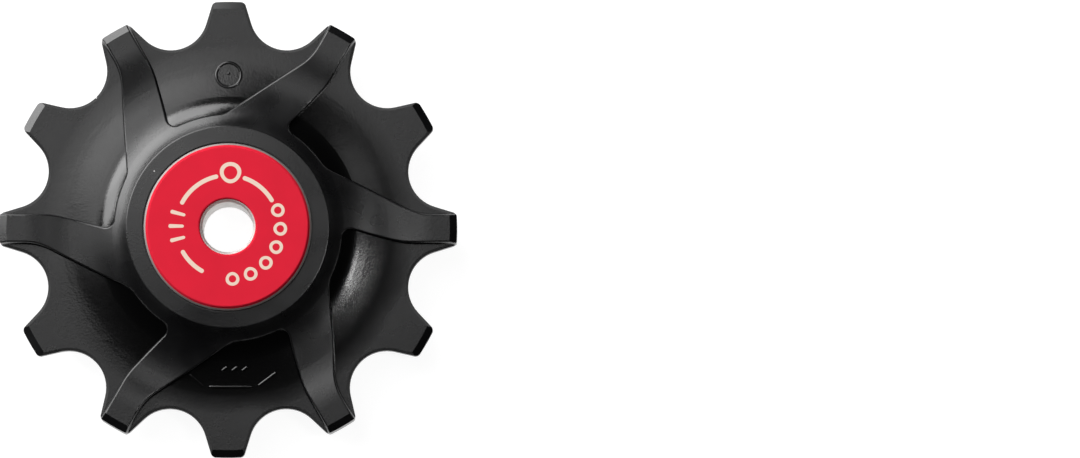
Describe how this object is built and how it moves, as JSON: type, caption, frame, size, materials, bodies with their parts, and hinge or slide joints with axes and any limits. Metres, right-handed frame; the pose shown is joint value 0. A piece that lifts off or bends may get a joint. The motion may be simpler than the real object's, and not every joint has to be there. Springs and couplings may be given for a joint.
{
  "type": "derailleur jockey wheel",
  "caption": "Moulded chain guide pulley with alternating thin and thick teeth, swept ribs, a sealed ball bearing and red end caps that clamp on a bolt.",
  "frame": {"origin": "centre of the wheel, on the axis, midway between the two cap faces", "axes": "+Z along the spin axis out of the marked front face, +X through a thick tooth, +Y through a thin tooth"},
  "size_m": [0.05, 0.05, 0.008],
  "materials": {
    "moulded_nylon": "satin moulded black",
    "red_anodised": "red anodised with bright turned edges",
    "bush_metal": "turned bright",
    "bearing_steel": "ground",
    "ball_ceramic": "polished dark ceramic",
    "cage_nylon": "natural moulded",
    "seal_rubber": "matt"
  },
  "bodies": {
    "axle": {"axle_bush": "bush_metal", "bearing_inner_race": "bearing_steel", "front_cap": "red_anodised", "rear_cap": "red_anodised"},
    "wheel": {"toothed_wheel": "moulded_nylon", "bearing_outer_race": "bearing_steel", "front_seal": "seal_rubber", "rear_seal": "seal_rubber"},
    "cage": {"ball_cage": "cage_nylon"},
    "ball_1": {"ball_1": "ball_ceramic"},
    "ball_2": {"ball_2": "ball_ceramic"},
    "ball_3": {"ball_3": "ball_ceramic"},
    "ball_4": {"ball_4": "ball_ceramic"},
    "ball_5": {"ball_5": "ball_ceramic"},
    "ball_6": {"ball_6": "ball_ceramic"},
    "ball_7": {"ball_7": "ball_ceramic"},
    "ball_8": {"ball_8": "ball_ceramic"},
    "ball_9": {"ball_9": "ball_ceramic"}
  },
  "joints": [
    {"name": "wheel_spin", "type": "hinge", "parent": "axle", "child": "wheel", "pos_m": [0, 0, 0], "axis": [0, 0, 1], "continuous": true},
    {"name": "cage_orbit", "type": "hinge", "parent": "axle", "child": "cage", "pos_m": [0, 0, 0], "axis": [0, 0, 1], "continuous": true},
    {"name": "ball_1_roll", "type": "hinge", "parent": "cage", "child": "ball_1", "pos_m": [0.006, 0, 0], "axis": [0, 0, 1], "continuous": true},
    {"name": "ball_2_roll", "type": "hinge", "parent": "cage", "child": "ball_2", "pos_m": [0.0046, 0.00386, 0], "axis": [0, 0, 1], "continuous": true},
    {"name": "ball_3_roll", "type": "hinge", "parent": "cage", "child": "ball_3", "pos_m": [0.00104, 0.00591, 0], "axis": [0, 0, 1], "continuous": true},
    {"name": "ball_4_roll", "type": "hinge", "parent": "cage", "child": "ball_4", "pos_m": [-0.003, 0.0052, 0], "axis": [0, 0, 1], "continuous": true},
    {"name": "ball_5_roll", "type": "hinge", "parent": "cage", "child": "ball_5", "pos_m": [-0.00564, 0.00205, 0], "axis": [0, 0, 1], "continuous": true},
    {"name": "ball_6_roll", "type": "hinge", "parent": "cage", "child": "ball_6", "pos_m": [-0.00564, -0.00205, 0], "axis": [0, 0, 1], "continuous": true},
    {"name": "ball_7_roll", "type": "hinge", "parent": "cage", "child": "ball_7", "pos_m": [-0.003, -0.0052, 0], "axis": [0, 0, 1], "continuous": true},
    {"name": "ball_8_roll", "type": "hinge", "parent": "cage", "child": "ball_8", "pos_m": [0.00104, -0.00591, 0], "axis": [0, 0, 1], "continuous": true},
    {"name": "ball_9_roll", "type": "hinge", "parent": "cage", "child": "ball_9", "pos_m": [0.0046, -0.00386, 0], "axis": [0, 0, 1], "continuous": true}
  ],
  "couplings": [
    {"joint": "cage_orbit", "follows": "wheel_spin", "ratio": 0.58333},
    {"joint": "ball_1_roll", "follows": "wheel_spin", "ratio": 2.9167},
    {"joint": "ball_2_roll", "follows": "wheel_spin", "ratio": 2.9167},
    {"joint": "ball_3_roll", "follows": "wheel_spin", "ratio": 2.9167},
    {"joint": "ball_4_roll", "follows": "wheel_spin", "ratio": 2.9167},
    {"joint": "ball_5_roll", "follows": "wheel_spin", "ratio": 2.9167},
    {"joint": "ball_6_roll", "follows": "wheel_spin", "ratio": 2.9167},
    {"joint": "ball_7_roll", "follows": "wheel_spin", "ratio": 2.9167},
    {"joint": "ball_8_roll", "follows": "wheel_spin", "ratio": 2.9167},
    {"joint": "ball_9_roll", "follows": "wheel_spin", "ratio": 2.9167}
  ]
}
